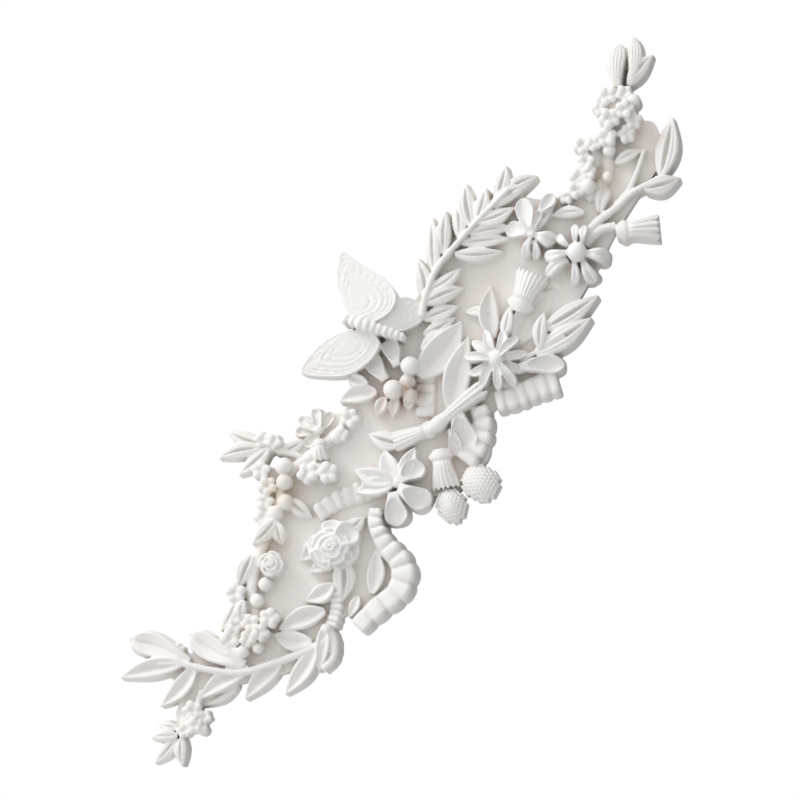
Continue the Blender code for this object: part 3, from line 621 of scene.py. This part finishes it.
def blossom(casting, x, y, radius, rise):
    """Five rounded petals that touch, about a sunk eye."""
    top = rise * RELIEF
    turn = 1.3 * x + y
    for i in range(5):
        angle = turn + 2 * math.pi * i / 5
        way = np.array((math.cos(angle), math.sin(angle)))
        petal_top = top * (1 + 0.03 * math.sin(2.1 * i + x))
        place = np.array((x, y)) + way * (0.60 * radius)
        radii = (0.45 * radius, 0.43 * radius)
        polar(casting, place, radii, angle, 18, round_levels(petal_top, 0.28 * radius * GRID, 7))
    low = top - 0.34 * radius * GRID
    floor, eye = 0.86 * radius, 0.17 * radius
    dish = [(1, OVERRUN), (1, low - BLOSSOM_DISH), (0.1, low)]
    polar(casting, (x, y), (floor, floor), 0, 20, dish)
    polar(casting, (x, y), (eye, eye), 0, 10, round_levels(top - 0.24 * radius * GRID, BLOSSOM_EYE, 4))


def bud(casting, base_x, base_y, end_x, end_y, width, rise, ribs):
    """A bud that widens from a rounded calyx to a ribbed, notched end."""
    base, end = np.array((base_x, base_y), float), np.array((end_x, end_y), float)
    run = end - base
    across = left_of(run)
    strips = 10 * ribs + 1
    v = np.linspace(-1, 1, strips)
    loops = []
    wave = np.abs(np.sin(math.pi * ribs * (v + 1) / 2)) ** 0.6
    for u in np.linspace(0, 1, 40):
        swell = 0.34 + 0.30 * math.exp(-(((u - 0.16) / 0.12) ** 2)) + 0.66 * u**1.2 - 0.10 * u**6
        half = width / 2 * swell
        ribbed = min(1, max(0, (u - 0.26) / 0.08))
        metres = half * GRID
        crown = rise * RELIEF * (0.86 + 0.16 * math.sin(math.pi * min(1, 0.2 + 0.75 * u)))
        pinch = 0.22 * math.exp(-(((u - 0.29) / 0.04) ** 2))
        furrow = min(BUD_FURROW, 1.1 * metres / ribs) * ribbed * (1 - wave)
        top = crown - 0.50 * metres * v**2 - furrow - pinch * metres
        reach = 1 - 0.10 * max(0, (u - 0.8) / 0.2) * (1 - wave)
        loop = [(*(base + run * u - across * (half + DRAFT)), OVERRUN)]
        loop += [(*(base + run * (u * r) + across * (half * s)), h) for s, h, r in zip(v, top, reach)]
        loop.append((*(base + run * u + across * (half + DRAFT)), OVERRUN))
        loops.append(loop)
    casting.loft(loops)


def between(at, knots, points):
    """The points at the given places along a line of points that has these knots."""
    return np.stack([np.interp(at, knots, points[:, k]) for k in (0, 1)], axis=-1)


def ribbon(casting, rise, widths, flutes, growth, frill, points):
    """A band gathered into rounded flutes that widen by the growth from its start to its end. The frill,
    1 to the left of its run or -1 to the right, is the scalloped edge, and the other is drawn in."""
    line = smooth_line(points, 24)
    steps = np.hypot(*np.diff(line, axis=0).T)
    far = np.concatenate(((0,), np.cumsum(steps)))
    turn = np.linspace(0, math.pi, 12, endpoint=False)
    wide = np.linspace(1, growth, flutes) * (1 + 0.12 * np.sin(2.3 * np.arange(flutes)))
    wide /= wide.sum()
    knots = np.concatenate(((0,), np.cumsum(wide)))
    share = np.append((knots[:-1, None] + wide[:, None] * (1 - np.cos(turn)) / 2).ravel(), 1.0)
    flute = np.append(np.tile(np.sin(turn) ** 0.8, flutes), 0.0)
    crest = np.append(np.repeat(1 + 0.10 * np.sin(3.7 * np.arange(flutes)), len(turn)), 1.0)
    places = between(share * far[-1], far, line)
    smooth = np.linspace(0, 1, 4 * flutes + 1)
    even = between(smooth * far[-1], far, line)
    ways = between(share, smooth, np.gradient(even, axis=0))
    v = np.linspace(-1, 1, 19)
    out = (1 + frill * v) / 2
    loops = []
    for s, f, c, place, way in zip(share, flute, crest, places, ways):
        half = float(np.interp(s, (0, 0.5, 1), widths)) / 2
        across = left_of(way)
        reach = 1 + 0.26 * out * (f * c - 0.75)
        furrow = FLUTE_DEPTH * (1 - f * c) * (0.40 + 0.60 * out)
        top = rise * RELIEF - furrow - RIBBON_DRAW * (1 - out) ** 1.5 - RIBBON_ROLL * rolled(v, 0.6)
        loop = [(*(place + across * (half * reach[0] * v[0] - DRAFT)), OVERRUN)]
        loop += [(*(place + across * (half * r * w)), h) for r, w, h in zip(reach, v, top)]
        loop.append((*(place + across * (half * reach[-1] * v[-1] + DRAFT)), OVERRUN))
        loops.append(loop)
    casting.loft(loops)


def rose(casting):
    """Open petals about rings of curled ones, and a tight heart."""
    casting.stand(ROSE_RISE)
    top = ROSE_RISE * RELIEF
    core = 0.80 * ROSE_RADIUS
    levels = [(1.0, OVERRUN)]
    levels += [(float(s), top - CORE_FALL * s**2 - CORE_DROP) for s in np.linspace(1, 0.02, 12)]
    polar(casting, ROSE, (core, core), 0, 48, levels)
    for i, (angle, reach, width) in enumerate(ROSE_PETALS):
        way = np.array((math.cos(angle), math.sin(angle)))
        row = (*(ROSE + 1.5 * way), *(ROSE + reach * way), width)
        blade(casting, row, 0.64 + 0.05 * (i % 2), "bowl", i)
    curls(casting, ROSE, ROSE_RADIUS, top, ROSE_RINGS)
    x, y, radius, rise = ROSEBUD
    casting.stand(rise)
    knob(casting, (x, y), (radius, radius), 0, rise - 0.04)
    curls(casting, (x, y), radius, rise * RELIEF, ROSEBUD_RINGS)


def daisy(casting):
    casting.stand(DAISY_RISE)
    for i in range(DAISY_PETALS):
        angle = 2 * math.pi * (i + 0.35) / DAISY_PETALS
        reach = DAISY_RADIUS * (1 + 0.10 * math.sin(3.1 * i))
        way = np.array((math.cos(angle), math.sin(angle)))
        row = (*(DAISY + 2.4 * way), *(DAISY + reach * way), 4.2)
        blade(casting, row, 0.74 + 0.05 * (i % 2), "channel", i)
    knob(casting, DAISY, (DAISY_EYE, DAISY_EYE), 0, DAISY_RISE)


def wing(casting, outline, root_rise, tip_rise):
    """A wing that slopes from its root, the outline's first point, to its tip, with lines and veins."""
    edge = smooth_line((*outline, outline[0]), 12)[:-1]
    root = edge[0]
    tip = edge[np.argmax(np.hypot(*(edge - root).T))]
    run = tip - root
    middle = root + 0.30 * run
    loops = [[(x, y, OVERRUN) for x, y in edge]]
    rays = np.arctan2(*(edge - middle).T)
    for size in np.concatenate(((1.0, 0.985), np.linspace(0.96, 0.04, 34))):
        places = middle + (edge - middle) * size
        share = (places - root) @ run / np.dot(run, run)
        height = RELIEF * (root_rise + (tip_rise - root_rise) * share)
        sunk = sum(depth * math.exp(-(((size - at) / WING_LINE_WIDTH) ** 2)) for at, depth in WING_LINES)
        veins = np.abs(np.sin(WING_VEINS * rays)) ** 0.5
        if WING_LINES[2][0] < size < WING_LINES[0][0]:
            sunk = sunk + VEIN_DEPTHS[0] * (1 - veins)
        if size < WING_LINES[3][0]:
            sunk = sunk + VEIN_DEPTHS[1] * (1 - veins)
        height = height - sunk - (WING_MARGIN if size == 1.0 else 0)
        loops.append(np.column_stack((places, height)))
    casting.loft(loops)


def butterfly(casting):
    for outline, root_rise, tip_rise in WINGS:
        casting.stand((root_rise + tip_rise) / 2)
        wing(casting, outline, root_rise, tip_rise)
    casting.stand(BODY[0][-1])
    for x, y, radius, rise in BODY:
        knob(casting, (x, y), (0.72 * radius, radius), BODY_TURN, rise, 24)


def ground(casting):
    edge = smooth_line((*GROUND_EDGE, GROUND_EDGE[0]), 4)[:-1]
    casting.loft([[(x, y, h) for x, y in edge] for h in (OVERRUN, GROUND)])


def all_shells():
    casting = Casting()
    casting.stand(GROUND / RELIEF)
    ground(casting)
    for rows in (LEAVES, PETALS):
        index = 0
        for rise, kind, group in rows.values():
            casting.stand(rise)
            for row in group:
                index += 1
                blade(casting, row, rise, kind, index)
    for row in STEMS:
        casting.stand(row[0])
        stem(casting, *row)
    for row in BLOSSOMS:
        casting.stand(row[-1])
        blossom(casting, *row)
    for x, y, radius, rise in BERRIES:
        casting.stand(rise)
        knob(casting, (x, y), (radius, radius), 0, rise)
    for x, y, half_length, half_width, turn, rise in MOUNDS:
        casting.stand(rise)
        knob(casting, (x, y), (half_length, half_width), math.radians(turn), rise)
    for row in LONG_BERRIES:
        casting.stand(row[-1])
        pebbled(casting, *row)
    casting.stand(EYE_RISE)
    knob(casting, EYE, (EYE_RADIUS, EYE_RADIUS), 0, EYE_RISE)
    for row in BUDS:
        casting.stand(row[5])
        bud(casting, *row)
    for row in RIBBONS:
        casting.stand(row[0])
        ribbon(casting, *row)
    rose(casting)
    daisy(casting)
    butterfly(casting)
    return casting


def cast():
    """The shells fused into one skin, softened, sawn flat at the back and thinned."""
    mesh = all_shells().mesh("corner_spray")
    bm = bmesh.new()
    bm.from_mesh(mesh)
    bmesh.ops.recalc_face_normals(bm, faces=bm.faces)
    bmesh.ops.triangulate(bm, faces=bm.faces)
    bm.to_mesh(mesh)
    bm.free()
    piece = bpy.data.objects.new("corner_spray", mesh)
    bpy.context.scene.collection.objects.link(piece)
    fuse = piece.modifiers.new("fuse", "REMESH")
    fuse.mode = "VOXEL"
    fuse.voxel_size = VOXEL
    soften = piece.modifiers.new("soften", "SMOOTH")
    soften.factor = SOFTENING
    soften.iterations = 1
    apply_modifiers(piece)
    saw_back(piece.data)
    thin = piece.modifiers.new("thin", "DECIMATE")
    thin.ratio = min(1.0, FACES / triangle_count(piece.data))
    apply_modifiers(piece)
    press_flat(piece.data)
    piece.data.shade_smooth()
    piece.data.set_sharp_from_angle(angle=CRISP_EDGE)
    return piece


def apply_modifiers(piece):
    graph = bpy.context.evaluated_depsgraph_get()
    made = bpy.data.meshes.new_from_object(piece.evaluated_get(graph))
    piece.modifiers.clear()
    old, piece.data = piece.data, made
    bpy.data.meshes.remove(old)


def saw_back(mesh):
    """Cuts away what lies behind the back plane and closes the cut with flat faces."""
    bm = bmesh.new()
    bm.from_mesh(mesh)
    parts = bm.verts[:] + bm.edges[:] + bm.faces[:]
    cut = bmesh.ops.bisect_plane(
        bm, geom=parts, dist=SAW_TOLERANCE, plane_co=(0, 0, 0), plane_no=(0, 1, 0), clear_outer=True
    )
    rim = [part for part in cut["geom_cut"] if isinstance(part, bmesh.types.BMEdge)]
    bmesh.ops.triangle_fill(bm, edges=rim, use_beauty=True, use_dissolve=False, normal=(0, 1, 0))
    bmesh.ops.recalc_face_normals(bm, faces=bm.faces)
    bm.to_mesh(mesh)
    bm.free()


def press_flat(mesh):
    """Moves what the thinning left a hair off the back plane on to it."""
    places = np.empty(len(mesh.vertices) * 3, np.float32)
    mesh.vertices.foreach_get("co", places)
    depths = places[1::3]
    places[1::3] = np.where(depths > -BACK_SNAP, 0.0, depths)
    mesh.vertices.foreach_set("co", places)
    mesh.update()


def triangle_count(mesh):
    mesh.calc_loop_triangles()
    return len(mesh.loop_triangles)


def coloured(nodes, links, under, over, share, blend="MIX"):
    """One colour laid over another by a share. Each is a colour or an output."""
    made = nodes.new("ShaderNodeMix")
    made.data_type = "RGBA"
    made.blend_type = blend
    for name, value in (("A", under), ("B", over), ("Factor", share)):
        if isinstance(value, bpy.types.NodeSocket):
            links.new(value, made.inputs[name])
        else:
            made.inputs[name].default_value = value
    return made.outputs["Result"]


def product(nodes, links, first, second):
    made = nodes.new("ShaderNodeMath")
    made.operation = "MULTIPLY"
    links.new(first, made.inputs[0])
    links.new(second, made.inputs[1])
    return made.outputs[0]


def mapped(nodes, links, value, span, to):
    """A value taken from one span to another, and held at its ends."""
    made = nodes.new("ShaderNodeMapRange")
    made.inputs["From Min"].default_value, made.inputs["From Max"].default_value = span
    made.inputs["To Min"].default_value, made.inputs["To Max"].default_value = to
    links.new(value, made.inputs["Value"])
    return made.outputs["Result"]


def plaster():
    """Dry plaster: painted warm shade low down, painted shade in recesses, stains and one painted shadow,
    rims worn pale.
    """
    material = bpy.data.materials.new("plaster")
    material.use_nodes = True
    nodes, links = material.node_tree.nodes, material.node_tree.links
    shader = nodes["Principled BSDF"]
    shader.inputs["Metallic"].default_value = 0.0
    place = nodes.new("ShaderNodeTexCoord").outputs["Object"]

    def noise(scale, detail):
        made = nodes.new("ShaderNodeTexNoise")
        made.inputs["Scale"].default_value = scale
        made.inputs["Detail"].default_value = detail
        links.new(place, made.inputs["Vector"])
        return made.outputs["Fac"]

    depth = nodes.new("ShaderNodeSeparateXYZ")
    links.new(place, depth.inputs[0])
    # painted shade: the low parts take a warmer tone than the high ones
    height = mapped(nodes, links, depth.outputs["Y"], TONE_DEPTHS, (0, 1))
    colour = coloured(nodes, links, LOW_WARM_SHADE_TONE, PALE_TONE, height)
    # painted shade: the recesses are darkened by how little open they are
    recess = nodes.new("ShaderNodeAmbientOcclusion")
    recess.samples = 8
    recess.inputs["Distance"].default_value = RECESS_SHADE_REACH
    shaded = mapped(nodes, links, recess.outputs["AO"], RECESS_SHADE_SPAN, (0, RECESS_SHADE_SHARE))
    colour = coloured(nodes, links, colour, RECESS_SHADE, shaded)
    low = mapped(nodes, links, depth.outputs["Y"], TINT_TOP, (0, 1))
    front = mapped(nodes, links, depth.outputs["Y"], TINT_END, (0, 1))
    blotched = mapped(nodes, links, noise(*BLOTCHES), BLOTCH_SPAN, BLOTCH_SHARES)
    tinted = product(nodes, links, low, product(nodes, links, front, blotched))
    # the first row is a painted shadow in dark brown; the other rows are stains
    for x, y, radius, tint, strength in STAINS_AND_SHADOW:
        away = nodes.new("ShaderNodeVectorMath")
        away.operation = "MULTIPLY_ADD"
        away.inputs[1].default_value = (1, 0, 1)
        away.inputs[2].default_value = ((ORIGIN[0] - x) * GRID, 0, (ORIGIN[1] - y) * GRID)
        links.new(place, away.inputs[0])
        reach = nodes.new("ShaderNodeVectorMath")
        reach.operation = "LENGTH"
        links.new(away.outputs["Vector"], reach.inputs[0])
        span = (radius * GRID, TINT_CORE * radius * GRID)
        near = mapped(nodes, links, reach.outputs["Value"], span, (0, strength))
        colour = coloured(nodes, links, colour, tint, product(nodes, links, near, tinted))
    rim = nodes.new("ShaderNodeNewGeometry").outputs["Pointiness"]
    worn = mapped(nodes, links, rim, WORN_SPAN, (0, WORN_SHARE))
    colour = coloured(nodes, links, colour, WORN, worn)
    colour = coloured(nodes, links, colour, MOTTLE, noise(*MOTTLING), "MULTIPLY")
    links.new(colour, shader.inputs["Base Color"])
    links.new(mapped(nodes, links, worn, (0, WORN_SHARE), ROUGHNESS), shader.inputs["Roughness"])
    bump = nodes.new("ShaderNodeBump")
    bump.inputs["Strength"].default_value = GRAIN_STRENGTH
    bump.inputs["Distance"].default_value = GRAIN_DEPTH
    links.new(noise(*GRAIN), bump.inputs["Height"])
    links.new(bump.outputs["Normal"], shader.inputs["Normal"])
    return material


def pale_floor():
    low = cad_box[0][2]
    bpy.ops.mesh.primitive_plane_add(size=FLOOR_SIZE, location=(0, 0, low - FLOOR_DROP))
    floor = bpy.context.object
    floor.name = "floor"
    material = bpy.data.materials.new("floor")
    material.use_nodes = True
    nodes, links = material.node_tree.nodes, material.node_tree.links
    grain = nodes.new("ShaderNodeTexNoise")
    grain.inputs["Scale"].default_value = FLOOR_GRAIN
    ramp = nodes.new("ShaderNodeValToRGB")
    for element, tone in zip(ramp.color_ramp.elements, FLOOR_TONES):
        element.color = tone
    links.new(grain.outputs["Fac"], ramp.inputs["Fac"])
    links.new(ramp.outputs["Color"], nodes["Principled BSDF"].inputs["Base Color"])
    nodes["Principled BSDF"].inputs["Roughness"].default_value = FLOOR_ROUGHNESS
    floor.data.materials.append(material)


def area_light(name, place, target, size, power):
    data = bpy.data.lights.new(name, "AREA")
    data.shape = "SQUARE"
    data.size = size
    data.energy = power
    light = bpy.data.objects.new(name, data)
    light.location = place
    light.rotation_euler = (Vector(place) - Vector(target)).to_track_quat("Z", "Y").to_euler()
    bpy.context.scene.collection.objects.link(light)


def studio():
    """Soft light from the upper left, and a pale studio that is white behind the piece."""
    scene = bpy.context.scene
    scene.view_settings.view_transform = "Standard"
    world = bpy.data.worlds.new("studio")
    scene.world = world
    world.use_nodes = True
    nodes, links = world.node_tree.nodes, world.node_tree.links
    way = nodes.new("ShaderNodeTexCoord").outputs["Generated"]
    side = nodes.new("ShaderNodeVectorMath")
    side.operation = "DOT_PRODUCT"
    side.inputs[1].default_value = SKY_BRIGHT_SIDE
    links.new(way, side.inputs[0])
    sky = mapped(nodes, links, side.outputs["Value"], SKY_SPAN, SKY_STRENGTH)
    ahead = nodes.new("ShaderNodeVectorMath")
    ahead.operation = "DOT_PRODUCT"
    ahead.inputs[1].default_value = BACKDROP_WAY
    links.new(way, ahead.inputs[0])
    backdrop = mapped(nodes, links, ahead.outputs["Value"], BACKDROP_SPAN, (0, BACKDROP_STRENGTH))
    both = nodes.new("ShaderNodeMath")
    both.operation = "MAXIMUM"
    links.new(sky, both.inputs[0])
    links.new(backdrop, both.inputs[1])
    links.new(both.outputs[0], nodes["Background"].inputs["Strength"])
    nodes["Background"].inputs["Color"].default_value = (1, 1, 1, 1)
    area_light("key", KEY_PLACE, KEY_TARGET, KEY_SIZE, KEY_POWER)


def camera():
    data = bpy.data.cameras.new("camera")
    data.lens = LENS
    eye = bpy.data.objects.new("camera", data)
    bpy.context.scene.collection.objects.link(eye)
    bpy.context.scene.camera = eye
    centre = (Vector(cad_box[0]) + Vector(cad_box[1])) / 2
    level = math.cos(CAMERA_ELEVATION)
    way = Vector(
        (math.sin(CAMERA_AZIMUTH) * level, -math.cos(CAMERA_AZIMUTH) * level, math.sin(CAMERA_ELEVATION))
    )
    eye.location = centre + way * CAMERA_DISTANCE
    eye.rotation_euler = way.to_track_quat("Z", "Y").to_euler()


ornament = cast()
ornament.data.materials.clear()
ornament.data.materials.append(plaster())
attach(ornament, "root")
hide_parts("corner_ornament")
print("spray triangles", triangle_count(ornament.data))
pale_floor()
studio()
camera()
